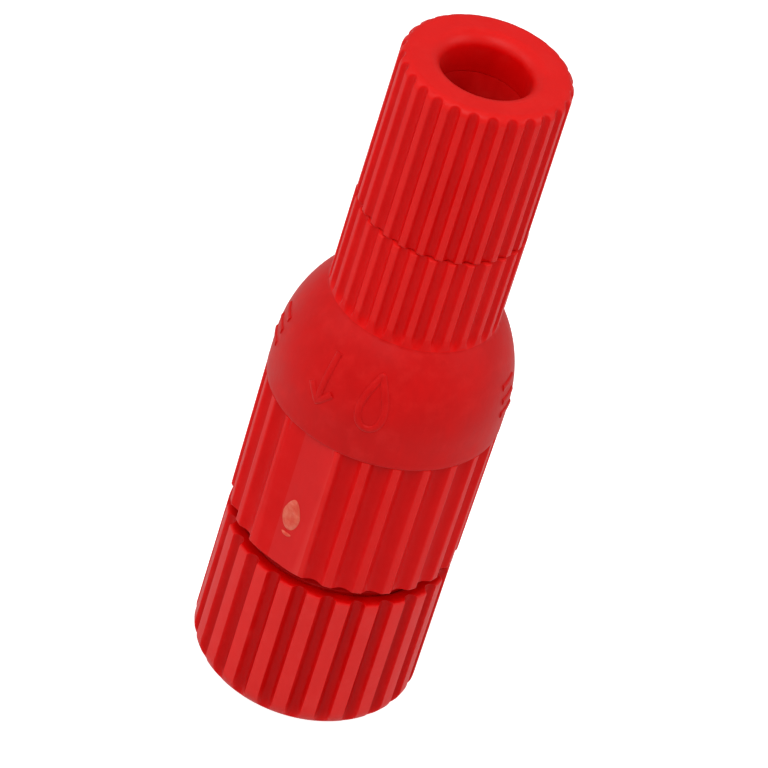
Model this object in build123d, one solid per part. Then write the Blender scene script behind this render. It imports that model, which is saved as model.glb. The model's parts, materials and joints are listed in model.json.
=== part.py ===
from build123d import *
import math
import os

# Drip emitter: a hose nut on top, a body with the flow-control parts, and a screw cap below.
# Origin: centre of the cap's flat bottom. +Z: up the emitter's axis. Front: -Y.

# Outside heights, from the ground up
cap_height = 11.9
cap_gap = 1.1
skirt_height = 11.4
band_height = 2.1
shoulder_height = 6.4
neck_height = 7.4
nut_gap = 0.1
nut_height = 12.0

# Tube side, from the axis outwards
tube_radius = 3.0
tube_clearance = 0.1
gland_depth = 0.85
stub_wall = 0.6
nut_thread_depth = 0.4
nut_wall = 0.48
nut_rib_height = 0.35
nut_draft = 0.04
neck_step = 0.04

# Cap side, from the axis outwards
chamber_radius = 4.8
nose_wall = 0.9
nose_step = 0.5
cap_thread_depth = 0.45
cap_wall = 0.7
cap_rib_height = 0.53
skirt_step = 0.11
skirt_draft = 0.1
band_step = 0.02

# Fits
thread_clearance = 0.12
flank_clearance = 0.08
nose_clearance = 0.1
loose_gap = 0.05
stack_gap = 0.02

# Threads
nut_lead = 1.5
nut_thread_foot = 0.75
nut_thread_crest = 0.4
cap_lead = 2.0
cap_thread_foot = 0.95
cap_thread_crest = 0.5
thread_bite = 0.15

# How far a cutter reaches past the face it leaves by
cut_margin = 1.0

# Ribs and flutes; angles are counted from +X
nut_rib_count = 28
nut_rib_angle = -82.5
nut_groove_share = 0.64
neck_rib_angle = -85.9
skirt_rib_count = 24
skirt_rib_angle = -87.7
skirt_rib_width = 0.62
skirt_rib_height = 0.58
skirt_rib_rounding = 0.2
skirt_edge_bevel = 0.2
panel_rib = -2
cap_rib_angle = -92.2
cap_groove_share = 0.5

# Outside edges
nut_top_rounding = 0.7
nut_mouth_flare = 1.0
cap_bottom_rounding = 1.8
cap_top_bevel = 0.25

# Raised shoulder marks
mark_relief = 0.16
mark_stroke = 0.5
mark_width = 2.3
mark_height = 4.0
mark_base = 0.6
drop_angles = (-93, 87)
arrow_angles = (-120, 60)
tick_angles = (-170, -10)
tick_count = 3
tick_pitch = 1.1

# Inside the nut
nut_web = 2.9
ring_height = 2.5
ring_top_wall = 0.45
ring_slot = 0.9
bush_flange = 0.6
bush_length = 3.4
gland_height = 1.0

# Inside the body
tube_stop_rise = 3.1
feed_radius = 2.0
ceiling = 2.5
ring_groove_rise = 0.5
retainer_height = 0.8
retainer_bite = 0.3
retainer_width = 1.2
retainer_slot = 1.4
nose_length = 3.65

# Flow-control stack
seat_thickness = 1.0
seat_rim_height = 0.6
seat_rim_width = 0.85
seat_lip_height = 0.35
seat_lip_wall = 0.4
orifice_radius = 0.75
diaphragm_thickness = 0.9
core_height = 10.0
core_recess = 0.6
core_bore_radius = 0.9
core_spigot_radius = 2.5
core_spigot_height = 1.2
path_width = 0.9
path_depth = 0.8
path_lead = 2.0
path_turns = 3.5
path_port_width = 0.7
path_groove_radius = 0.55

# Filter
filter_foot_height = 1.2
filter_foot_gap = 0.53
filter_top_height = 1.0
filter_headroom = 1.0
filter_post_count = 6
filter_post_width = 0.9
filter_wall = 0.8
mesh_thickness = 0.15
mesh_hole_radius = 0.45
mesh_columns = 8
mesh_rows = 6

# Inside the cap
cap_floor = 1.6
closing_reserve = 0.1
end_clearance = 0.15
seal_depth = 0.8
seal_height = 1.05
seal_rise = 2.1
outlet_radius = 1.5
outlet_depth = 1.3
pin_radius = 1.2
boss_wall = 1.0
boss_height = 1.3
pin_web = 0.7
needle_radius = 0.7
needle_tip_radius = 0.35
needle_length = 1.65

# Derived radii, tube side
bore_radius = tube_radius + tube_clearance
gland_radius = bore_radius + gland_depth
stub_radius = gland_radius + stub_wall
nut_bore_radius = stub_radius + thread_clearance
nut_thread_radius = nut_bore_radius + nut_thread_depth
nut_radius = nut_thread_radius + nut_wall + nut_rib_height
neck_radius = nut_radius + neck_step

# Derived radii, cap side
nose_radius = chamber_radius + nose_wall
spigot_radius = nose_radius + nose_step
cap_bore_radius = spigot_radius + thread_clearance
cap_thread_radius = cap_bore_radius + cap_thread_depth
cap_radius = cap_thread_radius + cap_wall + cap_rib_height
skirt_radius = cap_radius + skirt_step
band_radius = skirt_radius + skirt_draft + band_step
nose_bore_radius = nose_radius + nose_clearance

# Derived heights
closing_travel = cap_gap - closing_reserve
skirt_bottom = cap_height + cap_gap
band_bottom = skirt_bottom + skirt_height
shoulder_bottom = band_bottom + band_height
neck_bottom = shoulder_bottom + shoulder_height
neck_top = neck_bottom + neck_height
nut_bottom = neck_top + nut_gap
nut_top = nut_bottom + nut_height
ring_top = nut_top - nut_web
ring_bottom = ring_top - ring_height
stub_top = ring_bottom - bush_flange - 2 * stack_gap
bush_bottom = stub_top - bush_length
gland_floor = bush_bottom - gland_height
tube_stop = neck_bottom + tube_stop_rise
chamber_top = neck_bottom - ceiling
nose_bottom = cap_floor + closing_travel + end_clearance
nose_top = nose_bottom + nose_length
cap_step = nose_top - closing_travel - end_clearance
retainer_bottom = nose_bottom + ring_groove_rise
seat_bottom = retainer_bottom + retainer_height
seat_top = seat_bottom + seat_thickness
diaphragm_bottom = seat_top + seat_rim_height
core_bottom = diaphragm_bottom + diaphragm_thickness
core_top = core_bottom + core_height
filter_top = chamber_top - filter_headroom
path_bottom = core_bottom + (core_height - path_lead * path_turns) / 2
path_top = path_bottom + path_lead * path_turns
mesh_bottom = core_top + filter_foot_height
mesh_top = filter_top - filter_top_height
stack_radius = chamber_radius - loose_gap


# A solid turned about the axis from (radius, height) corners.
def turned(*corners):
    outline = Plane.XZ * Polyline(*corners, close=True)
    return revolve(make_face(outline), Axis.Z)


# A round bar on the axis between two heights.
def bar(radius, low, high):
    return Pos(0, 0, low) * extrude(Circle(radius), amount=high - low)


# A ring of round-bottomed grooves along the axis; the first rib stands at first_rib.
def grooves(count, first_rib, tip_radius, depth, share, low, high):
    half_width = math.pi * tip_radius / count * share
    cutter_radius = (half_width ** 2 + depth ** 2) / (2 * depth)
    centre = tip_radius - depth + cutter_radius
    places = PolarLocations(centre, count, first_rib + 180 / count)
    discs = Sketch() + [place * Circle(cutter_radius) for place in places]
    return Pos(0, 0, low) * extrude(discs, amount=high - low)


# A helical ridge whose turns pass angle zero at whole leads above the ground.
def helix_ridge(foot_radius, depth, foot_width, crest_width, lead, low, high, bite):
    slope = (foot_width - crest_width) / 2 / depth
    inner = foot_radius - bite
    inner_half = foot_width / 2 + slope * bite
    outer = foot_radius + depth
    crest_half = crest_width / 2
    corners = (
        (inner, -inner_half),
        (outer, -crest_half),
        (outer, crest_half),
        (inner, inner_half),
    )
    section = make_face(Plane.XZ * Polyline(*corners, close=True))
    path = Helix(pitch=lead, height=high - low, radius=foot_radius)
    ridge = sweep(section, path=path, is_frenet=True)
    return Pos(0, 0, low) * Rot(0, 0, 360 * low / lead) * ridge


# The thread on a spigot; its crest stays clear of the mate's thread groove.
def male_thread(radius, depth, foot, crest, lead, low, high):
    return helix_ridge(radius, depth, foot, crest, lead, low, high, thread_bite)


# The space that a male thread needs in its mate.
def thread_space(radius, depth, foot, crest, lead, low, high):
    foot_space = foot + 2 * flank_clearance
    crest_space = crest + 2 * flank_clearance
    return helix_ridge(radius, depth, foot_space, crest_space, lead, low, high, thread_bite)


# An O-ring that fills a gland from inner to outer radius, less a small gap.
def o_ring(inner, outer, height):
    middle = (inner + outer) / 2
    cord = (outer - inner) / 2
    return Pos(0, 0, height) * Torus(middle, cord)


# A gap across the front of a ring.
def ring_split(width, radius, low, high):
    return Pos(0, -radius / 2, (low + high) / 2) * Box(width, radius, 2 * (high - low))


def make_hose_nut():
    rounding = nut_top_rounding
    tip_radius = nut_radius - nut_draft
    seat_radius = bore_radius + ring_top_wall + loose_gap
    face_start = bore_radius + nut_mouth_flare
    edges = [
        Line((nut_bore_radius, nut_bottom), (nut_radius, nut_bottom)),
        Line((nut_radius, nut_bottom), (tip_radius, nut_top - rounding)),
        RadiusArc((tip_radius, nut_top - rounding), (tip_radius - rounding, nut_top), -rounding),
        Line((tip_radius - rounding, nut_top), (face_start, nut_top)),
        RadiusArc((face_start, nut_top), (bore_radius, nut_top - nut_mouth_flare), -nut_mouth_flare),
        Line((bore_radius, nut_top - nut_mouth_flare), (bore_radius, ring_top)),
        Line((bore_radius, ring_top), (seat_radius, ring_top)),
        Line((seat_radius, ring_top), (nut_bore_radius, ring_bottom)),
        Line((nut_bore_radius, ring_bottom), (nut_bore_radius, nut_bottom)),
    ]
    blank = revolve(make_face(Plane.XZ * Curve(edges)), Axis.Z)
    ribs = grooves(
        nut_rib_count,
        nut_rib_angle,
        nut_radius,
        nut_rib_height,
        nut_groove_share,
        nut_bottom - cut_margin,
        nut_top + cut_margin,
    )
    space = thread_space(
        nut_bore_radius,
        nut_thread_depth,
        nut_thread_foot,
        nut_thread_crest,
        nut_lead,
        nut_bottom - nut_thread_foot / 2,
        stub_top,
    )
    return blank - ribs - space


def make_clinching_ring():
    inner = bore_radius + stack_gap
    top_radius = bore_radius + ring_top_wall
    foot_radius = nut_bore_radius - loose_gap
    ring = turned(
        (inner, ring_bottom),
        (foot_radius, ring_bottom),
        (top_radius, ring_top - loose_gap),
        (inner, ring_top - loose_gap),
    )
    return ring - ring_split(ring_slot, nut_radius, ring_bottom, ring_top)


def make_thrust_bush():
    inner = bore_radius + stack_gap
    outer = gland_radius - loose_gap
    flange = stub_radius - loose_gap
    flange_bottom = stub_top + stack_gap
    return turned(
        (inner, bush_bottom),
        (outer, bush_bottom),
        (outer, flange_bottom),
        (flange, flange_bottom),
        (flange, ring_bottom - stack_gap),
        (inner, ring_bottom - stack_gap),
    )


def make_tube_o_ring():
    return o_ring(bore_radius + stack_gap, gland_radius - stack_gap, gland_floor + gland_height / 2)


# The outline of the body's shoulder, raised by a relief.
def shoulder_arc(relief):
    fall = band_radius - neck_radius
    bend = (shoulder_height ** 2 + fall ** 2) / (2 * fall)
    centre = band_radius - bend
    reach = bend + relief
    top_radius = centre + math.sqrt(reach ** 2 - shoulder_height ** 2)
    middle_radius = centre + math.sqrt(reach ** 2 - (shoulder_height / 2) ** 2)
    return ThreePointArc(
        (band_radius + relief, shoulder_bottom),
        (middle_radius, shoulder_bottom + shoulder_height / 2),
        (top_radius, neck_bottom),
    )


# The fluted outline of the skirt, with the flat panel across two flutes.
def skirt_outline():
    tip_radius = band_radius + band_step
    pitch_width = 2 * math.pi * tip_radius / skirt_rib_count
    half_width = (pitch_width - skirt_rib_width) / 2
    cutter_radius = (half_width ** 2 + skirt_rib_height ** 2) / (2 * skirt_rib_height)
    centre = tip_radius - skirt_rib_height + cutter_radius
    pitch = 360 / skirt_rib_count
    panel_angle = skirt_rib_angle + panel_rib * pitch
    places = PolarLocations(centre, skirt_rib_count, skirt_rib_angle + pitch / 2)
    outline = Circle(tip_radius) - [place * Circle(cutter_radius) for place in places]
    outline = fillet(outline.vertices(), skirt_rib_rounding)
    side = skirt_radius * math.cos(math.radians(pitch))
    half_chord = skirt_radius * math.sin(math.radians(pitch))
    wedge = make_face(Polyline((0, 0), (side, -half_chord), (side, half_chord), close=True))
    beyond = Pos(side + tip_radius / 2, 0) * Rectangle(tip_radius, 2 * half_chord)
    return outline + Rot(0, 0, panel_angle) * wedge - Rot(0, 0, panel_angle) * beyond


def make_skirt():
    inner = spigot_radius
    shape = Pos(0, 0, skirt_bottom) * extrude(skirt_outline(), amount=skirt_height)
    shell = turned(
        (inner, skirt_bottom),
        (skirt_radius - skirt_edge_bevel, skirt_bottom),
        (skirt_radius, skirt_bottom + skirt_edge_bevel),
        (skirt_radius + skirt_draft, band_bottom),
        (inner, band_bottom),
    )
    return shape & shell


# A water drop standing on its round end, drawn as a line.
def drop_sketch():
    def drop(radius, rise):
        touch = math.acos(radius / rise)
        side = radius * math.sin(touch)
        level = radius * math.cos(touch)
        point = make_face(Polyline((-side, level), (side, level), (0, rise), close=True))
        return Circle(radius) + point

    radius = mark_width / 2
    rise = mark_height - radius
    inner_radius = radius - mark_stroke
    inner_rise = rise - mark_stroke * rise / radius
    return Pos(0, radius) * (drop(radius, rise) - drop(inner_radius, inner_rise))


# An arrow that points down the flow.
def arrow_sketch():
    half = mark_width / 2
    head = half + mark_stroke / 2
    shaft = Pos(0, head + (mark_height - head) / 2) * Rectangle(mark_stroke, mark_height - head)
    tip = make_face(Polyline((-half, head), (half, head), (0, 0), close=True))
    return shaft + tip


# Short level bars, one above the other.
def tick_sketch():
    bar_heights = [mark_stroke + i * tick_pitch for i in range(tick_count)]
    return Sketch() + [Pos(0, height) * Rectangle(mark_width, mark_stroke) for height in bar_heights]


# Raised marks: each sketch is stood up facing outwards and kept only close to the shoulder.
def make_marks():
    def stood(sketch, angle):
        face = Plane(origin=(0, 0, shoulder_bottom + mark_base), x_dir=(0, 1, 0), z_dir=(1, 0, 0))
        return Rot(0, 0, angle) * extrude(face * sketch, amount=band_radius + cut_margin)

    drops = [stood(drop_sketch(), angle) for angle in drop_angles]
    arrows = [stood(arrow_sketch(), angle) for angle in arrow_angles]
    ticks = [stood(tick_sketch(), angle) for angle in tick_angles]
    arc = shoulder_arc(mark_relief)
    low = arc @ 0
    high = arc @ 1
    inner = gland_radius
    edges = [
        arc,
        Line(high, (inner, neck_bottom)),
        Line((inner, neck_bottom), (inner, shoulder_bottom)),
        Line((inner, shoulder_bottom), low),
    ]
    shell = revolve(make_face(Plane.XZ * Curve(edges)), Axis.Z)
    return [mark & shell for mark in drops + arrows + ticks]


def make_body():
    groove_radius = chamber_radius + retainer_bite
    groove_bottom = retainer_bottom - stack_gap
    edges = [
        Line((chamber_radius, nose_bottom), (nose_radius, nose_bottom)),
        Line((nose_radius, nose_bottom), (nose_radius, nose_top)),
        Line((nose_radius, nose_top), (spigot_radius, nose_top)),
        Line((spigot_radius, nose_top), (spigot_radius, band_bottom)),
        Line((spigot_radius, band_bottom), (band_radius, band_bottom)),
        Line((band_radius, band_bottom), (band_radius, shoulder_bottom)),
        shoulder_arc(0),
        Line((neck_radius, neck_bottom), (neck_radius, neck_top)),
        Line((neck_radius, neck_top), (stub_radius, neck_top)),
        Line((stub_radius, neck_top), (stub_radius, stub_top)),
        Line((stub_radius, stub_top), (gland_radius, stub_top)),
        Line((gland_radius, stub_top), (gland_radius, gland_floor)),
        Line((gland_radius, gland_floor), (bore_radius, gland_floor)),
        Line((bore_radius, gland_floor), (bore_radius, tube_stop)),
        Line((bore_radius, tube_stop), (feed_radius, tube_stop)),
        Line((feed_radius, tube_stop), (feed_radius, chamber_top)),
        Line((feed_radius, chamber_top), (chamber_radius, chamber_top)),
        Line((chamber_radius, chamber_top), (chamber_radius, seat_bottom)),
        Line((chamber_radius, seat_bottom), (groove_radius, seat_bottom)),
        Line((groove_radius, seat_bottom), (groove_radius, groove_bottom)),
        Line((groove_radius, groove_bottom), (chamber_radius, groove_bottom)),
        Line((chamber_radius, groove_bottom), (chamber_radius, nose_bottom)),
    ]
    core = revolve(make_face(Plane.XZ * Curve(edges)), Axis.Z)
    neck_grooves = grooves(
        nut_rib_count,
        neck_rib_angle,
        neck_radius,
        nut_rib_height,
        nut_groove_share,
        neck_bottom,
        neck_top + cut_margin,
    )
    # the neck's grooves stop at the neck's top face and leave the thread alone
    neck_sleeve = bar(neck_radius + cut_margin, neck_bottom, neck_top)
    neck_sleeve = neck_sleeve - bar(stub_radius, neck_bottom, neck_top)
    core = core - (neck_grooves & neck_sleeve)
    core = core + make_skirt()
    core = core + make_marks()
    nut_thread = male_thread(
        stub_radius,
        nut_thread_depth,
        nut_thread_foot,
        nut_thread_crest,
        nut_lead,
        neck_top + nut_lead / 2,
        stub_top - nut_thread_foot,
    )
    cap_thread = male_thread(
        spigot_radius,
        cap_thread_depth,
        cap_thread_foot,
        cap_thread_crest,
        cap_lead,
        nose_top + cap_thread_foot,
        skirt_bottom - cap_thread_foot,
    )
    return core + nut_thread + cap_thread


def make_filter_frame():
    mesh_inner = core_spigot_radius + filter_wall + stack_gap
    inner = core_spigot_radius + stack_gap
    foot_outer = stack_radius - filter_foot_gap
    foot = bar(foot_outer, core_top, mesh_bottom) - bar(inner, core_top, mesh_bottom)
    lid = bar(mesh_inner + mesh_thickness, mesh_top, filter_top)
    tube = bar(mesh_inner, mesh_bottom, mesh_top) - bar(inner, mesh_bottom, mesh_top)
    post = Box(2 * mesh_inner, filter_post_width, mesh_top - mesh_bottom)
    middle = (mesh_bottom + mesh_top) / 2
    turns = [360 / filter_post_count * i for i in range(filter_post_count // 2)]
    posts = Part() + [Pos(0, 0, middle) * Rot(0, 0, turn) * post for turn in turns]
    return foot + (tube & posts) + lid


def make_filter_mesh():
    inner = core_spigot_radius + filter_wall + 2 * stack_gap
    outer = inner + mesh_thickness
    low = mesh_bottom + stack_gap
    high = mesh_top - stack_gap
    sleeve = bar(outer, low, high) - bar(inner, low, high)
    hole = Rot(0, 90, 0) * Cylinder(mesh_hole_radius, 2 * (outer + cut_margin))
    row_pitch = (high - low) / (mesh_rows + 1)
    turn = 180 / mesh_columns
    holes = [
        Pos(0, 0, low + row_pitch * (row + 1)) * Rot(0, 0, turn * (column + row % 2 / 2)) * hole
        for row in range(mesh_rows)
        for column in range(mesh_columns)
    ]
    return sleeve - holes


def make_labyrinth_core():
    rim_inner = stack_radius - seat_rim_width
    plug = bar(stack_radius, core_bottom, core_top) + bar(
        core_spigot_radius, core_top, core_top + core_spigot_height
    )
    plug = plug - bar(rim_inner, core_bottom, core_bottom + core_recess)
    plug = plug - bar(core_bore_radius, core_bottom, core_top + core_spigot_height)
    # the path is cut from its floor to a little outside the plug
    path_floor = stack_radius - path_depth
    reach = path_depth + loose_gap
    path = helix_ridge(path_floor, reach, path_width, path_width, path_lead, path_bottom, path_top, 0)
    plug = plug - path - path_groove()
    # a short port feeds the path's upper end from the bore
    port_length = stack_radius - path_depth / 2
    port = Pos(port_length / 2, 0, path_top) * Box(port_length, path_port_width, path_port_width)
    return plug - Rot(0, 0, 360 * path_top / path_lead) * port


# The groove that takes the water down from the path's lower end, past the diaphragm.
def path_groove():
    groove = Pos(stack_radius, 0, 0) * bar(path_groove_radius, seat_top, path_bottom)
    return Rot(0, 0, 360 * path_bottom / path_lead) * groove


def make_diaphragm():
    return bar(stack_radius, diaphragm_bottom, core_bottom) - path_groove()


def make_seat_plate():
    rim_inner = stack_radius - seat_rim_width
    lip_radius = orifice_radius + seat_lip_wall
    plate = turned(
        (orifice_radius, seat_bottom),
        (stack_radius, seat_bottom),
        (stack_radius, diaphragm_bottom),
        (rim_inner, diaphragm_bottom),
        (rim_inner, seat_top),
        (lip_radius, seat_top),
        (lip_radius, seat_top + seat_lip_height),
        (orifice_radius, seat_top + seat_lip_height),
    )
    # a notch lets the water through the rim, below the groove in the stack's side
    notch = Pos(stack_radius, 0, seat_top + seat_rim_height / 2)
    notch = notch * Box(2 * seat_rim_width + loose_gap, 2 * path_groove_radius, seat_rim_height)
    return plate - Rot(0, 0, 360 * path_bottom / path_lead) * notch


def make_retaining_ring():
    outer = chamber_radius + retainer_bite - stack_gap
    inner = outer - retainer_width
    ring = bar(outer, retainer_bottom, seat_bottom) - bar(inner, retainer_bottom, seat_bottom)
    return ring - ring_split(retainer_slot, outer, retainer_bottom, seat_bottom)


def make_flow_cap():
    seal_bottom = cap_floor + seal_rise
    seal_top = seal_bottom + seal_height
    seal_radius = nose_bore_radius + seal_depth
    rounding = cap_bottom_rounding
    flat_radius = cap_radius - rounding
    boss_radius = outlet_radius + boss_wall
    boss_top = cap_floor + boss_height
    edges = [
        Line((outlet_radius, 0), (flat_radius, 0)),
        RadiusArc((flat_radius, 0), (cap_radius, rounding), -rounding),
        Line((cap_radius, rounding), (cap_radius, cap_height - cap_top_bevel)),
        Line((cap_radius, cap_height - cap_top_bevel), (cap_radius - cap_top_bevel, cap_height)),
        Line((cap_radius - cap_top_bevel, cap_height), (cap_bore_radius, cap_height)),
        Line((cap_bore_radius, cap_height), (cap_bore_radius, cap_step)),
        Line((cap_bore_radius, cap_step), (nose_bore_radius, cap_step)),
        Line((nose_bore_radius, cap_step), (nose_bore_radius, seal_top)),
        Line((nose_bore_radius, seal_top), (seal_radius, seal_top)),
        Line((seal_radius, seal_top), (seal_radius, seal_bottom)),
        Line((seal_radius, seal_bottom), (nose_bore_radius, seal_bottom)),
        Line((nose_bore_radius, seal_bottom), (nose_bore_radius, cap_floor)),
        Line((nose_bore_radius, cap_floor), (boss_radius, cap_floor)),
        Line((boss_radius, cap_floor), (boss_radius, boss_top)),
        Line((boss_radius, boss_top), (pin_radius, boss_top)),
        Line((pin_radius, boss_top), (pin_radius, outlet_depth)),
        Line((pin_radius, outlet_depth), (outlet_radius, outlet_depth)),
        Line((outlet_radius, outlet_depth), (outlet_radius, 0)),
    ]
    blank = revolve(make_face(Plane.XZ * Curve(edges)), Axis.Z)
    ribs = grooves(
        skirt_rib_count,
        cap_rib_angle,
        cap_radius,
        cap_rib_height,
        cap_groove_share,
        -cut_margin,
        cap_height + cut_margin,
    )
    space = thread_space(
        cap_bore_radius,
        cap_thread_depth,
        cap_thread_foot,
        cap_thread_crest,
        cap_lead,
        cap_step + cap_thread_foot / 2 + flank_clearance,
        cap_height + cap_thread_foot / 2,
    )
    return blank - ribs - space


def make_cap_o_ring():
    seal_middle = cap_floor + seal_rise + seal_height / 2
    inner = nose_radius + loose_gap
    outer = nose_bore_radius + seal_depth - loose_gap
    return o_ring(inner, outer, seal_middle)


def make_metering_pin():
    boss_top = cap_floor + boss_height
    middle = (outlet_depth + boss_top) / 2
    web = Box(2 * pin_radius, pin_web, boss_top - outlet_depth)
    cross = web + Rot(0, 0, 90) * web
    shank = Pos(0, 0, middle) * cross & bar(pin_radius, outlet_depth, boss_top)
    needle = Pos(0, 0, boss_top) * Cone(
        needle_radius, needle_tip_radius, needle_length, align=(Align.CENTER, Align.CENTER, Align.MIN)
    )
    return shank + needle


pieces = {
    "hose_nut": make_hose_nut(),
    "clinching_ring": make_clinching_ring(),
    "thrust_bush": make_thrust_bush(),
    "tube_o_ring": make_tube_o_ring(),
    "body": make_body(),
    "filter_frame": make_filter_frame(),
    "filter_mesh": make_filter_mesh(),
    "labyrinth_core": make_labyrinth_core(),
    "diaphragm": make_diaphragm(),
    "seat_plate": make_seat_plate(),
    "retaining_ring": make_retaining_ring(),
    "flow_cap": make_flow_cap(),
    "cap_o_ring": make_cap_o_ring(),
    "metering_pin": make_metering_pin(),
}

os.makedirs("parts", exist_ok=True)
for name, piece in pieces.items():
    export_step(piece, f"parts/{name}.step")
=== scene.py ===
import json
import math

import bmesh
import bpy
from mathutils import Matrix, Vector


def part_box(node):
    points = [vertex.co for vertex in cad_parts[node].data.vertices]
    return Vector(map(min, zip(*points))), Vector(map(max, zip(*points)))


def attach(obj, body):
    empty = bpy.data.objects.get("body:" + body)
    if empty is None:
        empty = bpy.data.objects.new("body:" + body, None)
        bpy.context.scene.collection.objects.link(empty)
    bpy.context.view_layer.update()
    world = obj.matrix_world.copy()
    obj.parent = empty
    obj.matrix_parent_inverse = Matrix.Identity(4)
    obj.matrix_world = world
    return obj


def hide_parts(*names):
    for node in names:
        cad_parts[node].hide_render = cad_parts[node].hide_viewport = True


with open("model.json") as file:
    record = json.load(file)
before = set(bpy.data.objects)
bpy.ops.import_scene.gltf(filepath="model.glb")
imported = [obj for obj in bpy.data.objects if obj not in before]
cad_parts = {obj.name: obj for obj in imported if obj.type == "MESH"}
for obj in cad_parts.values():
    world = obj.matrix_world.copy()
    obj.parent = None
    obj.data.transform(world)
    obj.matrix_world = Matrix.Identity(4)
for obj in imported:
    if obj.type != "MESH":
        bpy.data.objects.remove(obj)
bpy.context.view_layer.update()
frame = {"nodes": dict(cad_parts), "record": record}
scene = bpy.context.scene
mm = 0.001
print("frame loaded:", len(frame["nodes"]), "nodes")

nutLow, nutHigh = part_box("hose_nut")
bodyLow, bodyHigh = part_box("body")
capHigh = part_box("flow_cap")[1]


# camera first: a long lens, tipped so that the emitter leans to the right
cameraSetup = {
    "distance": 396, "elevation": 37.55, "lean": 17.8, "lens": 274.4,
    "aimHeight": 24.93, "aimAside": -0.17,
}


def placeCamera():
    c = cameraSetup
    rise = math.radians(c["elevation"])
    back = Vector((0, -math.cos(rise), math.sin(rise)))
    turn = back.to_track_quat("Z", "Y").to_matrix().to_4x4()
    turn = turn @ Matrix.Rotation(math.radians(c["lean"]), 4, "Z")
    right = turn.to_3x3() @ Matrix.Rotation(math.radians(-c["lean"]), 3, "Z") @ Vector((1, 0, 0))
    aim = Vector((0, 0, c["aimHeight"] * mm)) + right * c["aimAside"] * mm
    data = bpy.data.cameras.new("camera")
    data.sensor_width = 36
    data.lens = c["lens"]
    data.clip_start = 0.01
    camera = bpy.data.objects.new("camera", data)
    camera.matrix_world = Matrix.Translation(aim + back * c["distance"] * mm) @ turn
    scene.collection.objects.link(camera)
    scene.camera = camera


placeCamera()
print("camera placed")


def addPiece(name, bm, body, material, slotName):
    mesh = bpy.data.meshes.new(name)
    bm.to_mesh(mesh)
    bm.free()
    piece = bpy.data.objects.new(name, mesh)
    scene.collection.objects.link(piece)
    mesh.materials.append(material)
    for face in mesh.polygons:
        face.use_smooth = True
    mesh.set_sharp_from_angle(angle=math.radians(48))
    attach(piece, body)
    return piece


def newGroup(name, inputs, outputs):
    group = bpy.data.node_groups.new(name, "ShaderNodeTree")
    for label, kind, value in inputs:
        socket = group.interface.new_socket(label, in_out="INPUT", socket_type=kind)
        socket.default_value = value
    for label, kind in outputs:
        group.interface.new_socket(label, in_out="OUTPUT", socket_type=kind)
    return group, group.nodes.new("NodeGroupInput"), group.nodes.new("NodeGroupOutput")


def noiseNode(tree, vector, scale, detail=3, roughness=0.5):
    node = tree.nodes.new("ShaderNodeTexNoise")
    node.inputs["Detail"].default_value = detail
    node.inputs["Roughness"].default_value = roughness
    tree.links.new(vector, node.inputs["Vector"])
    if isinstance(scale, (int, float)):
        node.inputs["Scale"].default_value = scale
    else:
        tree.links.new(scale, node.inputs["Scale"])
    return node.outputs["Fac"]


def rangeNode(tree, value, low, high, toLow, toHigh):
    node = tree.nodes.new("ShaderNodeMapRange")
    for label, v in (("From Min", low), ("From Max", high), ("To Min", toLow), ("To Max", toHigh)):
        if isinstance(v, (int, float)):
            node.inputs[label].default_value = v
        else:
            tree.links.new(v, node.inputs[label])
    tree.links.new(value, node.inputs["Value"])
    return node.outputs["Result"]


def mathNode(tree, operation, a, b):
    node = tree.nodes.new("ShaderNodeMath")
    node.operation = operation
    for i, v in enumerate((a, b)):
        if isinstance(v, (int, float)):
            node.inputs[i].default_value = v
        else:
            tree.links.new(v, node.inputs[i])
    return node.outputs[0]


def mixColour(tree, factor, a, b):
    node = tree.nodes.new("ShaderNodeMix")
    node.data_type = "RGBA"
    for i, v in ((0, factor), (6, a), (7, b)):
        if isinstance(v, (int, float, tuple)):
            node.inputs[i].default_value = v
        else:
            tree.links.new(v, node.inputs[i])
    return node.outputs[2]


def stretched(tree, vector, amounts):
    node = tree.nodes.new("ShaderNodeMapping")
    node.inputs["Scale"].default_value = amounts
    tree.links.new(vector, node.inputs["Vector"])
    return node.outputs["Vector"]


# moulded plastic: cloudy colour, orange-peel skin, polish streaks along the draw
def makeMouldedGroup():
    group, source, sink = newGroup(
        "mouldedSkin",
        [
            ("Vector", "NodeSocketVector", (0, 0, 0)),
            ("Colour", "NodeSocketColor", (0.7, 0.01, 0.01, 1)),
            ("Deep Colour", "NodeSocketColor", (0.5, 0.005, 0.005, 1)),
            ("Cloud Scale", "NodeSocketFloat", 260),
            ("Peel Scale", "NodeSocketFloat", 3200),
            ("Smooth", "NodeSocketFloat", 0.25),
            ("Rough", "NodeSocketFloat", 0.4),
        ],
        [("Colour", "NodeSocketColor"), ("Roughness", "NodeSocketFloat"), ("Height", "NodeSocketFloat")],
    )
    vector = source.outputs["Vector"]
    cloud = noiseNode(group, vector, source.outputs["Cloud Scale"], 4, 0.6)
    streak = noiseNode(group, stretched(group, vector, (1, 1, 0.08)), 2600, 3)
    peel = noiseNode(group, vector, source.outputs["Peel Scale"], 2)
    cloudPart = mathNode(group, "MULTIPLY", cloud, 0.75)
    both = mathNode(group, "ADD", cloudPart, mathNode(group, "MULTIPLY", streak, 0.25))
    shade = rangeNode(group, both, 0.36, 0.64, 0.0, 1.0)
    colour = mixColour(group, shade, source.outputs["Deep Colour"], source.outputs["Colour"])
    rough = rangeNode(group, both, 0.34, 0.66, source.outputs["Smooth"], source.outputs["Rough"])
    peelPart = mathNode(group, "MULTIPLY", peel, 0.7)
    height = mathNode(group, "ADD", peelPart, mathNode(group, "MULTIPLY", streak, 0.5))
    group.links.new(colour, sink.inputs["Colour"])
    group.links.new(rough, sink.inputs["Roughness"])
    group.links.new(height, sink.inputs["Height"])
    return group


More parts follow.
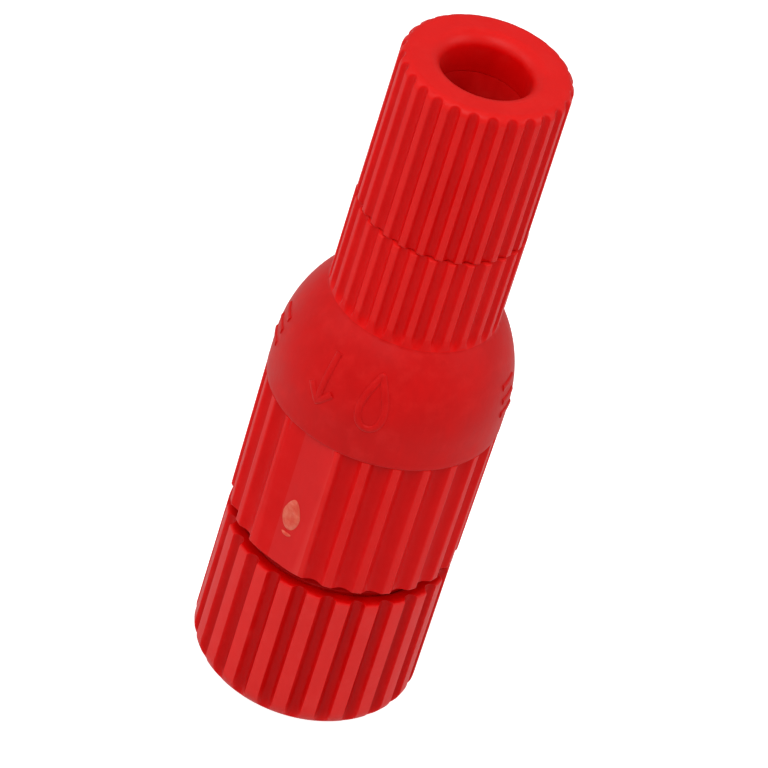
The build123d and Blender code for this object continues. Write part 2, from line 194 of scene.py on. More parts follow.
# fine scuffs and pale rubs, strongest where the mask is high; where the mask is the rib relief, the pale
# rubs are partly real wear and partly painted sheen on the rib tops
def makeScuffGroup():
    group, source, sink = newGroup(
        "scuffsAndTipSheen",
        [
            ("Vector", "NodeSocketVector", (0, 0, 0)),
            ("Mask", "NodeSocketFloat", 1),
            ("Amount", "NodeSocketFloat", 0.4),
        ],
        [("Scuff", "NodeSocketFloat"), ("Scratch", "NodeSocketFloat")],
    )
    vector = source.outputs["Vector"]
    patches = rangeNode(group, noiseNode(group, vector, 700, 5, 0.7), 0.5, 0.72, 0, 1)
    lines = noiseNode(group, stretched(group, vector, (0.25, 1, 1)), 5200, 2, 0.4)
    scratch = rangeNode(group, lines, 0.62, 0.7, 0, 1)
    worn = mathNode(group, "MULTIPLY", patches, source.outputs["Mask"])
    scuff = mathNode(group, "MULTIPLY", worn, source.outputs["Amount"])
    marks = mathNode(group, "MULTIPLY", scratch, scuff)
    group.links.new(scuff, sink.inputs["Scuff"])
    group.links.new(marks, sink.inputs["Scratch"])
    return group


mouldedSkin = makeMouldedGroup()
scuffsAndTipSheen = makeScuffGroup()


def startMaterial(name):
    material = bpy.data.materials.new(name)
    material.use_nodes = True
    tree = material.node_tree
    shader = tree.nodes["Principled BSDF"]
    vector = tree.nodes.new("ShaderNodeTexCoord").outputs["Object"]
    return material, tree, shader, vector


def useGroup(tree, group, values, links):
    node = tree.nodes.new("ShaderNodeGroup")
    node.node_tree = group
    for label, value in values.items():
        node.inputs[label].default_value = value
    for label, socket in links.items():
        tree.links.new(socket, node.inputs[label])
    return node.outputs


def bumpNode(tree, shader, height, strength, distance):
    bump = tree.nodes.new("ShaderNodeBump")
    bump.inputs["Strength"].default_value = strength
    bump.inputs["Distance"].default_value = distance
    tree.links.new(height, bump.inputs["Height"])
    tree.links.new(bump.outputs["Normal"], shader.inputs["Normal"])


# red mouldings: the relief attribute is 0 in a groove and 1 on a rib; low relief gets painted shade (the
# groove colour)
def redPlastic(name, look):
    material, tree, shader, vector = startMaterial(name)
    skin = useGroup(
        tree, mouldedSkin,
        {
            "Colour": look["colour"], "Deep Colour": look["deep"], "Cloud Scale": look["cloud"],
            "Peel Scale": look["peel"], "Smooth": look["smooth"], "Rough": look["rough"],
        },
        {"Vector": vector},
    )
    relief = tree.nodes.new("ShaderNodeAttribute")
    relief.attribute_name = "relief"
    links = {"Vector": vector, "Mask": relief.outputs["Fac"]}
    # scuffs on the rib tops: partly real wear, partly painted sheen
    scuff = useGroup(tree, scuffsAndTipSheen, {"Amount": look["scuff"]}, links)
    # painted shade: grooves, bores and hidden faces darken towards the groove colour
    grooveShade = rangeNode(tree, relief.outputs["Fac"], 0, 0.9, look["grooveShade"], 0)
    # painted highlight: the rib tops are lightened towards the tip colour
    paintedTipHighlight = rangeNode(tree, relief.outputs["Fac"], 0.85, 1, 0, look["paintedTipHighlight"])
    shaded = mixColour(tree, grooveShade, skin["Colour"], look["groove"])
    shaded = mixColour(tree, paintedTipHighlight, shaded, look["tip"])
    colour = mixColour(tree, scuff["Scuff"], shaded, look["rub"])
    rough = mathNode(tree, "ADD", skin["Roughness"], mathNode(tree, "MULTIPLY", scuff["Scuff"], 0.25))
    height = mathNode(tree, "SUBTRACT", skin["Height"], mathNode(tree, "MULTIPLY", scuff["Scratch"], 1.5))
    tree.links.new(colour, shader.inputs["Base Color"])
    tree.links.new(rough, shader.inputs["Roughness"])
    shader.inputs["IOR"].default_value = look["ior"]
    shader.inputs["Specular IOR Level"].default_value = look["shine"]
    shader.inputs["Sheen Weight"].default_value = look["sheen"]
    shader.inputs["Sheen Roughness"].default_value = 0.4
    shader.inputs["Sheen Tint"].default_value = (1, 0.55, 0.5, 1)
    shader.inputs["Subsurface Weight"].default_value = look["glow"]
    shader.inputs["Subsurface Radius"].default_value = (1.0, 0.12, 0.08)
    shader.inputs["Subsurface Scale"].default_value = 0.0006
    bumpNode(tree, shader, height, look["bump"], 0.00004)
    return material


# groove is the painted shade colour for low relief
# tip is the painted highlight colour for the rib tops
redLook = {
    "colour": (0.76, 0.003, 0.003, 1), "deep": (0.69, 0.001, 0.001, 1), "groove": (0.58, 0.0, 0.0, 1),
    "tip": (0.80, 0.035, 0.03, 1), "rub": (0.80, 0.03, 0.025, 1), "cloud": 260, "peel": 3200,
    "smooth": 0.28, "rough": 0.42, "grooveShade": 0.6, "paintedTipHighlight": 0.3, "scuff": 0.25, "ior": 1.45,
    "shine": 0.13, "sheen": 0.02, "glow": 0.12, "bump": 0.25,
}
nutRed = redPlastic("nutRed", redLook)
bodyRed = redPlastic("bodyRed", {**redLook, "smooth": 0.33, "rough": 0.46})
# the shoulder: a satin finish, and a darker colour that is painted shade for its dim middle
shoulderShadedRed = redPlastic("shoulderShadedRed", {
    **redLook, "colour": (0.64, 0.002, 0.002, 1), "deep": (0.56, 0.001, 0.001, 1), "paintedTipHighlight": 0,
    "smooth": 0.42, "rough": 0.58, "shine": 0.18, "sheen": 0.1,
})
# painted reflection: a pale strip on the flat panel where a soft box would reflect
panelPaintedReflection = redPlastic("panelPaintedReflection", {
    **redLook, "paintedTipHighlight": 0.75, "shine": 0.3, "smooth": 0.4, "rough": 0.5,
})
# the cap: deeper painted groove shade and a stronger painted highlight on the rib tops, with the rub colour
# matching that highlight
capRed = redPlastic("capRed", {
    **redLook, "groove": (0.50, 0.0, 0.0, 1), "grooveShade": 0.9, "tip": (0.80, 0.05, 0.045, 1),
    "paintedTipHighlight": 0.45, "rub": (0.80, 0.05, 0.045, 1), "scuff": 0.3,
})
# the gate scar's pale colour is a painted highlight
gatePaintedHighlight = redPlastic("gatePaintedHighlight", {
    **redLook, "colour": (0.80, 0.13, 0.075, 1), "deep": (0.72, 0.07, 0.045, 1),
    "rub": (0.85, 0.25, 0.18, 1), "paintedTipHighlight": 0, "cloud": 1400, "scuff": 0.6, "smooth": 0.42,
    "rough": 0.6, "bump": 0.4,
})
print("red plastics made")


# finishes of the working pieces inside, one look for each record slot
innerLooks = {
    "ring_plastic": {
        "colour": (0.78, 0.004, 0.004, 1), "deep": (0.70, 0.002, 0.002, 1), "cloud": 500, "peel": 4200,
        "smooth": 0.3, "rough": 0.42, "metal": 0, "bump": 0.2, "scuff": 0.2, "rub": (0.8, 0.04, 0.03, 1),
    },
    "pin_plastic": {
        "colour": (0.74, 0.73, 0.68, 1), "deep": (0.66, 0.64, 0.57, 1), "cloud": 600, "peel": 4400,
        "smooth": 0.32, "rough": 0.45, "metal": 0, "bump": 0.2, "scuff": 0.3, "rub": (0.82, 0.81, 0.78, 1),
    },
    "bush_plastic": {
        "colour": (0.05, 0.05, 0.055, 1), "deep": (0.03, 0.03, 0.032, 1), "cloud": 420, "peel": 3800,
        "smooth": 0.35, "rough": 0.5, "metal": 0, "bump": 0.25, "scuff": 0.4, "rub": (0.16, 0.16, 0.16, 1),
    },
    "frame_plastic": {
        "colour": (0.06, 0.06, 0.065, 1), "deep": (0.035, 0.035, 0.04, 1), "cloud": 380, "peel": 3400,
        "smooth": 0.38, "rough": 0.55, "metal": 0, "bump": 0.3, "scuff": 0.3, "rub": (0.18, 0.18, 0.18, 1),
    },
    "core_plastic": {
        "colour": (0.075, 0.075, 0.08, 1), "deep": (0.045, 0.045, 0.05, 1), "cloud": 340, "peel": 3000,
        "smooth": 0.34, "rough": 0.5, "metal": 0, "bump": 0.3, "scuff": 0.3, "rub": (0.2, 0.2, 0.2, 1),
    },
    "seal_rubber": {
        "colour": (0.022, 0.021, 0.020, 1), "deep": (0.012, 0.012, 0.012, 1), "cloud": 900, "peel": 6000,
        "smooth": 0.5, "rough": 0.72, "metal": 0, "bump": 0.4, "scuff": 0.5, "rub": (0.09, 0.088, 0.085, 1),
    },
    "diaphragm_silicone": {
        "colour": (0.78, 0.76, 0.70, 1), "deep": (0.68, 0.65, 0.58, 1), "cloud": 300, "peel": 2600,
        "smooth": 0.38, "rough": 0.55, "metal": 0, "bump": 0.15, "scuff": 0.2, "rub": (0.85, 0.84, 0.8, 1),
    },
    "mesh_steel": {
        "colour": (0.66, 0.66, 0.64, 1), "deep": (0.52, 0.52, 0.51, 1), "cloud": 800, "peel": 7000,
        "smooth": 0.22, "rough": 0.38, "metal": 1, "bump": 0.2, "scuff": 0.4, "rub": (0.8, 0.8, 0.78, 1),
    },
}


def innerFinish(name, look):
    material, tree, shader, vector = startMaterial(name)
    skin = useGroup(
        tree, mouldedSkin,
        {
            "Colour": look["colour"], "Deep Colour": look["deep"], "Cloud Scale": look["cloud"],
            "Peel Scale": look["peel"], "Smooth": look["smooth"], "Rough": look["rough"],
        },
        {"Vector": vector},
    )
    scuff = useGroup(tree, scuffsAndTipSheen, {"Amount": look["scuff"], "Mask": 1}, {"Vector": vector})
    colour = mixColour(tree, scuff["Scuff"], skin["Colour"], look["rub"])
    tree.links.new(colour, shader.inputs["Base Color"])
    tree.links.new(skin["Roughness"], shader.inputs["Roughness"])
    shader.inputs["Metallic"].default_value = look["metal"]
    height = mathNode(tree, "SUBTRACT", skin["Height"], scuff["Scratch"])
    bumpNode(tree, shader, height, look["bump"], 0.00003)
    return material


def finishInnerNodes():
    made = {slot: innerFinish(slot + "Finish", look) for slot, look in innerLooks.items()}
    for part in frame["record"]["subparts"]:
        if part["material_slot"] in made:
            for slot in frame["nodes"][part["node"]].material_slots:
                slot.material = made[part["material_slot"]]


finishInnerNodes()
print("inner pieces finished")


def arcPoints(centreR, centreZ, radius, start, end, count):
    angles = [math.radians(start + (end - start) * i / count) for i in range(count + 1)]
    return [(centreR + radius * math.cos(a), centreZ + radius * math.sin(a)) for a in angles]


def linePoints(start, end, count):
    steps = [i / count for i in range(count + 1)]
    return [(start[0] + (end[0] - start[0]) * t, start[1] + (end[1] - start[1]) * t) for t in steps]


def softMin(a, b, width):
    h = max(width - abs(a - b), 0) / width
    return min(a, b) - h * h * width / 4


# how far out a round-bottomed groove lets the surface reach at an angle, in millimetres
def grooveReach(angle, shape):
    pitch = 360 / shape["count"]
    part = ((angle - shape["firstRib"]) / pitch) % 1 - 0.5
    pitchWidth = math.tau * shape["tip"] / shape["count"]
    half = pitchWidth * shape["share"] / 2
    cutter = (half ** 2 + shape["depth"] ** 2) / (2 * shape["depth"])
    aside = min(abs(part) * pitchWidth, cutter * 0.999)
    if aside >= cutter * 0.99 or aside > half + shape["round"]:
        return shape["tip"] + 1
    return shape["tip"] - shape["depth"] + cutter - math.sqrt(cutter ** 2 - aside ** 2)


# a closed shell: the last point of the outline joins the first
def turnedShell(outline, columns):
    bm = bmesh.new()
    ring = [bm.verts.new((r * mm, 0, z * mm)) for r, z in outline]
    sides = [bm.edges.new((ring[i - 1], ring[i])) for i in range(len(ring))]
    bmesh.ops.spin(
        bm, geom=ring + sides, cent=(0, 0, 0), axis=(0, 0, 1), dvec=(0, 0, 0), angle=math.tau,
        steps=columns, use_merge=True, use_normal_flip=False, use_duplicate=False,
    )
    bmesh.ops.remove_doubles(bm, verts=bm.verts, dist=1e-7)
    bmesh.ops.recalc_face_normals(bm, faces=bm.faces)
    return bm


# moves the outer wall in to the radius that reach(angle, height, radius) gives; shade notes the relief,
# which drives the painted groove shade and the painted rib-top highlight
def carve(bm, reach, shade, innerLimit, depth):
    layer = bm.verts.layers.float.new("relief")
    for v in bm.verts:
        radius = math.hypot(v.co.x, v.co.y) / mm
        height = v.co.z / mm
        new = radius
        if radius > innerLimit:
            new = reach(math.degrees(math.atan2(v.co.y, v.co.x)), height, radius)
            v.co.x *= new / radius
            v.co.y *= new / radius
        v[layer] = shade(height, new, max(0, min(1, 1 - (radius - new) / depth)))


nutShape = {
    "ribs": {"count": 28, "firstRib": -82.5, "tip": 5.9, "depth": 0.35, "share": 0.64, "round": 0.1},
    "draft": 0.04, "topRound": 0.7, "mouth": 1.0, "bore": 3.1, "web": 2.9,
    "ringSeat": 3.6, "threadBore": 5.07, "seatDrop": 2.5, "columns": 28 * 22, "soften": 0.12,
    "footRound": 0.12,
}


def makeNut():
    s = nutShape
    low, top = nutLow[2] / mm, nutHigh[2] / mm
    tip = s["ribs"]["tip"]
    edge = tip - s["draft"]
    corner = s["footRound"]
    outline = linePoints((s["threadBore"], low), (tip - corner, low), 4)
    outline += arcPoints(tip - corner, low + corner, corner, -90, 0, 4)[1:]
    outline += linePoints((tip, low + corner), (edge, top - s["topRound"]), 14)[1:]
    outline += arcPoints(edge - s["topRound"], top - s["topRound"], s["topRound"], 0, 90, 14)[1:]
    outline += linePoints((edge - s["topRound"], top), (s["bore"] + s["mouth"], top), 6)[1:]
    outline += arcPoints(s["bore"] + s["mouth"], top - s["mouth"], s["mouth"], 90, 180, 14)[1:]
    outline += linePoints((s["bore"], top - s["mouth"]), (s["bore"], top - s["web"]), 4)[1:]
    outline += [(s["ringSeat"], top - s["web"]), (s["threadBore"], top - s["web"] - s["seatDrop"])]
    outline += linePoints(outline[-1], (s["threadBore"], low), 4)[1:]
    bm = turnedShell(outline, s["columns"])

    def reach(angle, height, radius):
        return softMin(radius, grooveReach(angle, s["ribs"]), s["soften"])

    def shade(height, radius, relief):
        # painted shade: the bore darkens with depth below the mouth
        deep = top - height - s["mouth"] / 2
        return max(0.1, 1 - deep / 2) if radius < s["bore"] + 0.4 and deep > 0 else relief

    carve(bm, reach, shade, s["threadBore"] + 0.1, s["ribs"]["depth"])
    piece = addPiece("nutMoulding", bm, "nut", nutRed, "nut_plastic")
    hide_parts("hose_nut")


makeNut()
print("hose nut made")


bodyShape = {
    "neck": {"count": 28, "firstRib": -85.9, "tip": 5.94, "depth": 0.35, "share": 0.64, "round": 0.1},
    "skirt": {"count": 24, "firstRib": -87.7, "tip": 8.21, "depth": 0.58, "share": 0.73, "round": 0.1},
    "neckTop": 40.3, "neckBottom": 32.9, "shoulderBottom": 26.5, "bandBottom": 24.4, "skirtBottom": 13.0,
    "band": 8.23, "skirtDraft": 0.1, "panelRib": -2, "panelHalf": 15, "soften": 0.16,
    "stub": 4.55, "gland": 3.95, "glandFloor": 41.8, "bore": 3.1, "tubeStop": 36.0, "feed": 2.0,
    "chamberTop": 30.4, "chamber": 4.8, "noseTop": 6.4, "nose": 5.7, "spigot": 6.2, "columns": 168 * 4,
    "fade": 0.9, "fadeStart": 1.4, "neckEdge": 0.1, "bandEdge": 0.15, "skirtEdge": 0.2, "skirtStep": 0.02,
    "clipDepth": 0.3, "clipLow": 0.48, "clipHigh": 1.3,
}


def shoulderArc(count):
    s = bodyShape
    fall = s["band"] - s["neck"]["tip"]
    rise = s["neckBottom"] - s["shoulderBottom"]
    bend = (rise ** 2 + fall ** 2) / (2 * fall)
    top = math.degrees(math.asin(rise / bend))
    points = arcPoints(s["band"] - bend, s["shoulderBottom"], bend, top, 0, count)
    return s["band"] - bend, bend, points


def makeBody():
    s = bodyShape
    tip, band = s["neck"]["tip"], s["band"]
    top, bottom = bodyHigh[2] / mm, bodyLow[2] / mm
    spread = s["skirtDraft"]
    outline = [(s["gland"], top), (s["stub"], top), (s["stub"], s["neckTop"])]
    neckEdge, bandEdge, skirtEdge = s["neckEdge"], s["bandEdge"], s["skirtEdge"]
    fadeTop = s["neckBottom"] + s["fadeStart"]
    outline += linePoints((s["stub"], s["neckTop"]), (tip - neckEdge, s["neckTop"]), 4)[1:]
    outline += arcPoints(tip - neckEdge, s["neckTop"] - neckEdge, neckEdge, 90, 0, 3)[1:]
    outline += linePoints((tip, s["neckTop"] - neckEdge), (tip, fadeTop), 8)[1:]
    outline += linePoints((tip, fadeTop), (tip, s["neckBottom"] + neckEdge), 10)[1:]
    outline += shoulderArc(34)[2]
    outline += linePoints((band, s["shoulderBottom"]), (band, s["bandBottom"] + bandEdge), 5)[1:]
    outline += arcPoints(band - bandEdge, s["bandBottom"] + bandEdge, bandEdge, 0, -75, 4)[1:]
    skirtTip = band - s["skirtStep"]
    foot = skirtTip - spread
    skirtTop, skirtFoot = s["bandBottom"] - s["skirtStep"], s["skirtBottom"] + skirtEdge
    outline += linePoints((skirtTip, skirtTop), (foot, skirtFoot), 12)
    outline += arcPoints(foot - skirtEdge, skirtFoot, skirtEdge, 0, -90, 4)[1:]
    outline += linePoints((foot - skirtEdge, s["skirtBottom"]), (s["spigot"], s["skirtBottom"]), 4)[1:]
    outline += [(s["spigot"], s["noseTop"]), (s["nose"], s["noseTop"]), (s["nose"], bottom)]
    clip = s["chamber"] + s["clipDepth"]
    clipLow, clipHigh = bottom + s["clipLow"], bottom + s["clipHigh"]
    outline += [(s["chamber"], bottom), (s["chamber"], clipLow), (clip, clipLow)]
    outline += [(clip, clipHigh), (s["chamber"], clipHigh), (s["chamber"], s["chamberTop"])]
    outline += [(s["feed"], s["chamberTop"]), (s["feed"], s["tubeStop"]), (s["bore"], s["tubeStop"])]
    outline += [(s["bore"], s["glandFloor"]), (s["gland"], s["glandFloor"])]
    bm = turnedShell(outline, s["columns"])
    pitch = 360 / s["skirt"]["count"]
    panelAngle = s["skirt"]["firstRib"] + s["panelRib"] * pitch
    carveTop = s["bandBottom"] - 0.01
    chord = (band - 0.07) * math.cos(math.radians(pitch))

    def reach(angle, height, radius):
        if s["neckBottom"] - 0.6 < height <= s["neckTop"] + 0.001:
            lift = max(0, s["neckBottom"] + s["fade"] - height) / (s["fade"] + 0.35)
            return softMin(radius, grooveReach(angle, s["neck"]) + 0.75 * lift ** 2, s["soften"] * 0.7)
        if height > carveTop or height < s["skirtBottom"] - 0.001:
            return radius
        off = (angle - panelAngle + 180) % 360 - 180
        if abs(off) < pitch:
            return softMin(radius, chord / math.cos(math.radians(off)), 0.1)
        return softMin(radius, grooveReach(angle, s["skirt"]), s["soften"])

    def shade(height, radius, relief):
        # painted shade: the underside, the bore and the stub take the dark groove colour; at the foot of
        # the neck the painted rib-top highlight is held back
        if height < s["skirtBottom"] - 0.001 or radius < s["stub"] + 0.01:
            return 0.1
        if s["shoulderBottom"] < height < s["neckBottom"] + s["fade"]:
            return min(relief, 0.88)
        return relief

    carve(bm, reach, shade, s["stub"] + 0.35, s["skirt"]["depth"])
    piece = addPiece("bodyMoulding", bm, "emitter", bodyRed, "body_plastic")
    piece.data.materials.append(shoulderShadedRed)
    piece.data.materials.append(panelPaintedReflection)
    for face in piece.data.polygons:
        x, y, height = (v / mm for v in face.center)
        radius = math.hypot(x, y)
        off = (math.degrees(math.atan2(y, x)) - panelAngle + 180) % 360 - 180
        if s["bandBottom"] < height < s["neckBottom"] and radius > s["neck"]["tip"] - 0.2:
            # shoulder faces take the material with the painted shade
            face.material_index = 1
        elif s["skirtBottom"] < height < s["bandBottom"] and radius > s["spigot"] + 1:
            # faces beside the flat panel take the painted reflection
            face.material_index = 2 if -4 < off < pitch else 0
    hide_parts("body")


makeBody()
print("body made")


threads = {
    "nutThreadRidge": {
        "foot": 4.55, "depth": 0.4, "footWidth": 0.75, "crestWidth": 0.4, "lead": 1.5, "bite": 0.12,
        "low": 41.05, "high": 45.51, "phase": 0, "body": "emitter", "slot": "body_plastic",
    },
    "nutThreadInside": {
        "foot": 5.07, "depth": -0.38, "footWidth": 0.92, "crestWidth": 0.57, "lead": 1.5, "bite": -0.1,
        "low": 41.1, "high": 46.3, "phase": 0.5, "body": "nut", "slot": "nut_plastic",
    },
    "capThreadRidge": {
        "foot": 6.2, "depth": 0.45, "footWidth": 0.95, "crestWidth": 0.5, "lead": 2.0, "bite": 0.12,
        "low": 7.35, "high": 12.05, "phase": 0, "body": "emitter", "slot": "body_plastic",
    },
    "capThreadInside": {
        "foot": 6.8, "depth": -0.46, "footWidth": 1.3, "crestWidth": 0.85, "lead": 2.0, "bite": -0.1,
        "low": 6.1, "high": 11.2, "phase": 0.5, "body": "cap", "slot": "cap_plastic",
    },
}

# relief 0.3 gives the threads part of the painted groove shade
threadForm = {"stepsPerTurn": 60, "edgeDrop": 0.06, "edgeSpread": 0.03, "crestBreak": 0.05, "relief": 0.3}


# a ridge whose turns keep in step with the mating thread; phase is counted in turns
def makeThread(name, s, material):
    turns = (s["high"] - s["low"]) / s["lead"]
    steps = round(turns * threadForm["stepsPerTurn"])
    crest = s["foot"] + s["depth"]
    edge = math.copysign(threadForm["edgeDrop"], s["depth"])
    slope = (s["footWidth"] - s["crestWidth"]) / 2 / s["depth"]
    footHalf = s["footWidth"] / 2 + slope * s["bite"]
    crestHalf = s["crestWidth"] / 2
    root = s["foot"] - s["bite"]
    spread, inset = threadForm["edgeSpread"], threadForm["crestBreak"]
    corners = [
        (root, -footHalf), (crest - edge, -crestHalf - spread), (crest, -crestHalf + inset),
        (crest, crestHalf - inset), (crest - edge, crestHalf + spread), (root, footHalf),
    ]
    bm = bmesh.new()
    ring = [bm.verts.new((r * mm, 0, (s["low"] + z) * mm)) for r, z in corners]
    sides = [bm.edges.new((ring[i - 1], ring[i])) for i in range(len(ring))]
    bmesh.ops.spin(
        bm, geom=ring + sides, cent=(0, 0, 0), axis=(0, 0, 1), angle=math.tau * turns, steps=steps,
        dvec=(0, 0, (s["high"] - s["low"]) / steps * mm),
        use_merge=False, use_normal_flip=False, use_duplicate=False,
    )
    start = Matrix.Rotation(math.tau * (s["low"] / s["lead"] + s["phase"]), 3, "Z")
    bmesh.ops.rotate(bm, cent=(0, 0, 0), matrix=start, verts=bm.verts)
    bmesh.ops.holes_fill(bm, edges=[e for e in bm.edges if e.is_boundary], sides=0)
    bmesh.ops.recalc_face_normals(bm, faces=bm.faces)
    layer = bm.verts.layers.float.new("relief")
    for v in bm.verts:
        v[layer] = threadForm["relief"]
    addPiece(name, bm, s["body"], material, s["slot"])


for name, shape in threads.items():
    makeThread(name, shape, bodyRed)
print("threads made")


markShape = {
    "stroke": 0.5, "relief": 0.12, "width": 2.3, "height": 4.0, "base": 0.7,
    "drops": (-93, 87), "arrows": (-120, 60), "ticks": (-170, -10), "tickPitch": 1.1,
}


# strokes are drawn flat as a curve, then laid on the shoulder
def layOnShoulder(name, strokes, angle):
    s = markShape
    curve = bpy.data.curves.new(name, "CURVE")
    curve.dimensions = "3D"
    curve.bevel_depth = s["stroke"] / 2
    curve.bevel_resolution = 4
    curve.use_fill_caps = True
    for points, closed in strokes:
        spline = curve.splines.new("POLY")
        spline.points.add(len(points) - 1)
        for point, (x, y) in zip(spline.points, points):
            point.co = (x, y, 0, 1)
        spline.use_cyclic_u = closed
    drawn = bpy.data.objects.new(name + "Line", curve)
    scene.collection.objects.link(drawn)
    flat = bpy.data.meshes.new_from_object(drawn.evaluated_get(bpy.context.evaluated_depsgraph_get()))
    bpy.data.objects.remove(drawn)
    bm = bmesh.new()
    bm.from_mesh(flat)
    bpy.data.meshes.remove(flat)
    centre, bend = shoulderArc(8)[:2]
    layer = bm.verts.layers.float.new("relief")
    for v in bm.verts:
        lift = v.co.z * 2 * s["relief"] / s["stroke"]
        climb = (s["base"] + v.co.y) / bend
        radius = centre + (bend + lift) * math.cos(climb)
        turn = math.radians(angle) + v.co.x / radius
        height = bodyShape["shoulderBottom"] + (bend + lift) * math.sin(climb)
        v.co = (radius * math.cos(turn) * mm, radius * math.sin(turn) * mm, height * mm)
        v[layer] = 1
    bmesh.ops.remove_doubles(bm, verts=bm.verts, dist=1e-7)
    bmesh.ops.recalc_face_normals(bm, faces=bm.faces)
    return addPiece(name, bm, "emitter", shoulderShadedRed, "body_plastic")


def makeMarks():
    s = markShape
    half, tall = s["width"] / 2 - s["stroke"] / 2, s["height"]
    turns = [math.tau * i / 48 for i in range(48)]
    widths = [half * 1.3 * math.sin(t) * math.sin(t / 2) ** 1.2 for t in turns]
    drop = [(x, tall / 2 * (1 + math.cos(t))) for x, t in zip(widths, turns)]
    shaft = linePoints((0, tall), (0, 0.25), 12)
    barbs = linePoints((-half, half + 0.3), (0, 0.1), 6) + linePoints((0, 0.1), (half, half + 0.3), 6)[1:]
    for i, angle in enumerate(s["drops"]):
        layOnShoulder(f"dropMark{i}", [(drop, True)], angle)
    for i, angle in enumerate(s["arrows"]):
        layOnShoulder(f"arrowMark{i}", [(shaft, False), (barbs, False)], angle)
    for i, angle in enumerate(s["ticks"]):
        levels = [k * s["tickPitch"] for k in range(3)]
        bars = [(linePoints((-half, y), (half, y), 8), False) for y in levels]
        layOnShoulder(f"tickMarks{i}", bars, angle)


makeMarks()
print("marks made")


# the scar that the moulding gate leaves on the flat panel
gateShape = {
    "angle": -117.7, "flat": 7.882, "aside": 0.3, "height": 17.4, "width": 1.45, "tall": 2.6, "lift": 0.13,
    "narrow": 0.3, "dent": 0.9, "dentWidth": 0.4, "lipDrop": 1.72, "lipWidth": 0.8, "lipTall": 0.3,
    "lipBend": 0.5,
}


def onPanel(x, y, lift):
    s = gateShape
    turn = math.radians(s["angle"])
    outwards = Vector((math.cos(turn), math.sin(turn), 0))
    across = Vector((-math.sin(turn), math.cos(turn), 0))
    up = Vector((0, 0, 1))
    return (outwards * (s["flat"] + lift) + across * (s["aside"] + x) + up * (s["height"] + y)) * mm


# a soft drop with a sunk middle, and a small crescent below it
def makeGate():
    s = gateShape

    def scar(x, y, z):
        dent = s["dent"] * math.exp(-(x ** 2 + (y + 0.2) ** 2) / s["dentWidth"] ** 2) * max(z, 0)
        x *= (1 - s["narrow"] * max(0, y)) * s["width"] / 2
        return onPanel(x, y * s["tall"] / 2, (z - dent) * s["lift"])

    def lip(x, y, z):
        x *= s["lipWidth"] / 2
        return onPanel(x, y * s["lipTall"] / 2 - s["lipDrop"] + s["lipBend"] * x ** 2, z * s["lift"] * 0.7)

    for name, place in (("gateScar", scar), ("gateLip", lip)):
        bm = bmesh.new()
        layer = bm.verts.layers.float.new("relief")
        bmesh.ops.create_uvsphere(bm, u_segments=48, v_segments=32, radius=1)
        for v in bm.verts:
            v.co = place(*v.co)
            v[layer] = 1
        bmesh.ops.recalc_face_normals(bm, faces=bm.faces)
        addPiece(name, bm, "emitter", gatePaintedHighlight, "body_plastic")


makeGate()
print("gate scar made")


capShape = {
    "ribs": {"count": 24, "firstRib": -92.2, "tip": 8.0, "depth": 0.53, "share": 0.5, "round": 0.1},
    "bottomRound": 1.8, "topRound": 0.2, "threadBore": 6.8, "step": 5.25, "noseBore": 5.8,
    "sealTop": 4.75, "sealBottom": 3.7, "seal": 6.6, "floor": 1.6, "boss": 2.5, "bossTop": 2.9,
    "outlet": 1.5, "columns": 24 * 26, "soften": 0.08, "outletEdge": 0.15, "mouthEdge": 0.2,
}


def makeCap():
    s = capShape
    tip, top = s["ribs"]["tip"], capHigh[2] / mm
    outletMouth = s["outlet"] + s["outletEdge"]
    outline = [(s["outlet"], s["bossTop"]), (s["outlet"], s["outletEdge"]), (outletMouth, 0)]
    outline += linePoints((outletMouth, 0), (tip - s["bottomRound"], 0), 8)[1:]
    outline += arcPoints(tip - s["bottomRound"], s["bottomRound"], s["bottomRound"], -90, 0, 18)[1:]
    outline += linePoints((tip, s["bottomRound"]), (tip, top - s["topRound"]), 12)[1:]
    outline += arcPoints(tip - s["topRound"], top - s["topRound"], s["topRound"], 0, 90, 5)[1:]
    outline += linePoints((tip - s["topRound"], top), (s["threadBore"] + s["mouthEdge"], top), 5)[1:]
    outline += [(s["threadBore"], top - s["mouthEdge"]), (s["threadBore"], s["step"])]
    outline += [(s["noseBore"], s["step"])]
    outline += [(s["noseBore"], s["sealTop"]), (s["seal"], s["sealTop"]), (s["seal"], s["sealBottom"])]
    outline += [(s["noseBore"], s["sealBottom"]), (s["noseBore"], s["floor"]), (s["boss"], s["floor"])]
    outline += [(s["boss"], s["bossTop"])]
    bm = turnedShell(outline, s["columns"])

    def reach(angle, height, radius):
        return softMin(radius, grooveReach(angle, s["ribs"]), s["soften"])

    def shade(height, radius, relief):
        # painted shade: the top face and the inside darken to the groove colour
        if height > top - 0.25 or radius < s["threadBore"] + 0.1:
            return max(0, 1 - (tip - radius) / s["ribs"]["depth"]) * relief
        return relief

    carve(bm, reach, shade, s["threadBore"] + 0.3, s["ribs"]["depth"])
    piece = addPiece("capMoulding", bm, "cap", capRed, "cap_plastic")
    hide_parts("flow_cap")


makeCap()
print("flow cap made")


studio = {
    "floorSize": 3.0, "floorDrop": 0.03, "floorColour": (0.5, 0.5, 0.5, 1),
    "floorGlow": 0.2, "paperWhite": 0.95,
    "frontSky": 0.10, "sideSky": 0.42, "topSky": 0.42,
    "lights": [
        ("leftBox", (-0.38, -0.10, 0.30), 0.25, 0.42),
        ("rightBox", (0.38, -0.02, 0.26), 0.25, 0.42),
        ("keyBox", (-0.06, -0.27, 0.40), 0.3, 1.0),
    ],
}


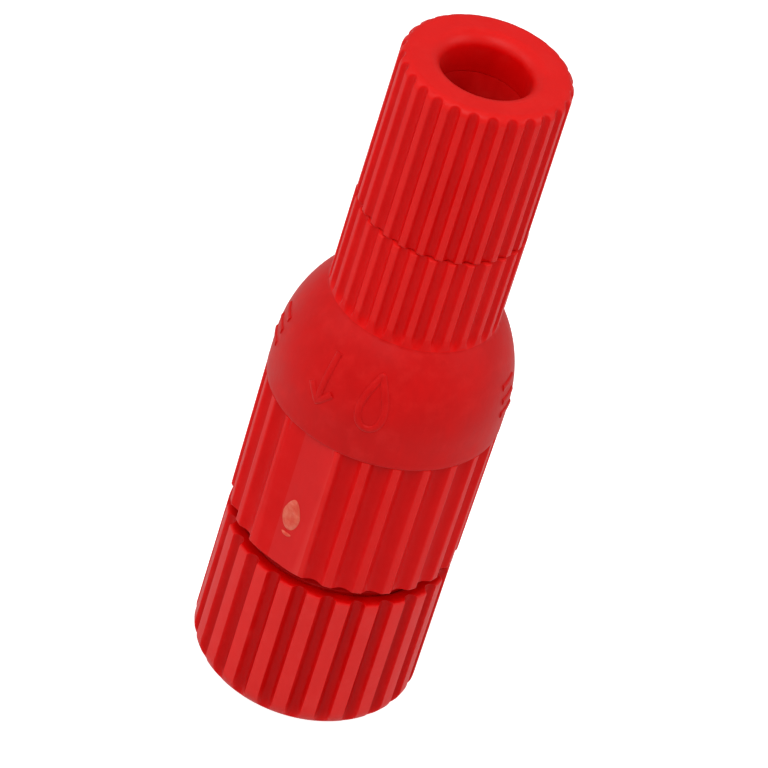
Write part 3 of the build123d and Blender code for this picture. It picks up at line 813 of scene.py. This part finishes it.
# a sky that is bright at both sides and dim in front, like two soft boxes
def makeSky():
    world = bpy.data.worlds.new("studio")
    world.use_nodes = True
    tree = world.node_tree
    place = tree.nodes.new("ShaderNodeTexCoord").outputs["Generated"]
    split = tree.nodes.new("ShaderNodeSeparateXYZ")
    tree.links.new(place, split.inputs["Vector"])
    side = mathNode(tree, "POWER", mathNode(tree, "ABSOLUTE", split.outputs["X"], 0), 2)
    top = mathNode(tree, "MAXIMUM", split.outputs["Z"], 0)
    light = mathNode(tree, "ADD", mathNode(tree, "MULTIPLY", side, studio["sideSky"]), studio["frontSky"])
    light = mathNode(tree, "ADD", light, mathNode(tree, "MULTIPLY", top, studio["topSky"]))
    seen = tree.nodes.new("ShaderNodeLightPath").outputs["Is Camera Ray"]
    light = mathNode(tree, "MAXIMUM", light, seen)
    background = tree.nodes["Background"]
    background.inputs["Color"].default_value = (1, 1, 1, 1)
    tree.links.new(light, background.inputs["Strength"])
    scene.world = world


def makeStudio():
    bm = bmesh.new()
    bmesh.ops.create_grid(bm, x_segments=1, y_segments=1, size=studio["floorSize"] / 2)
    mesh = bpy.data.meshes.new("floor")
    bm.to_mesh(mesh)
    bm.free()
    floor = bpy.data.objects.new("floor", mesh)
    floor.location.z = -studio["floorDrop"] * mm
    scene.collection.objects.link(floor)
    paper = bpy.data.materials.new("paper")
    paper.use_nodes = True
    shader = paper.node_tree.nodes["Principled BSDF"]
    shader.inputs["Base Color"].default_value = studio["floorColour"]
    shader.inputs["Roughness"].default_value = 0.9
    shader.inputs["Emission Color"].default_value = (1, 1, 1, 1)
    # the paper looks white to the camera and gives back less light to the emitter
    seen = paper.node_tree.nodes.new("ShaderNodeLightPath").outputs["Is Camera Ray"]
    glow = rangeNode(paper.node_tree, seen, 0, 1, studio["floorGlow"], studio["paperWhite"])
    paper.node_tree.links.new(glow, shader.inputs["Emission Strength"])
    mesh.materials.append(paper)
    makeSky()
    for name, place, size, power in studio["lights"]:
        data = bpy.data.lights.new(name, "AREA")
        data.size = size
        data.energy = power
        light = bpy.data.objects.new(name, data)
        aim = Vector((0, 0, 0.026)) - Vector(place)
        light.matrix_world = Matrix.Translation(place) @ aim.to_track_quat("-Z", "Y").to_matrix().to_4x4()
        scene.collection.objects.link(light)
    scene.view_settings.view_transform = "Standard"


makeStudio()
print("studio made")
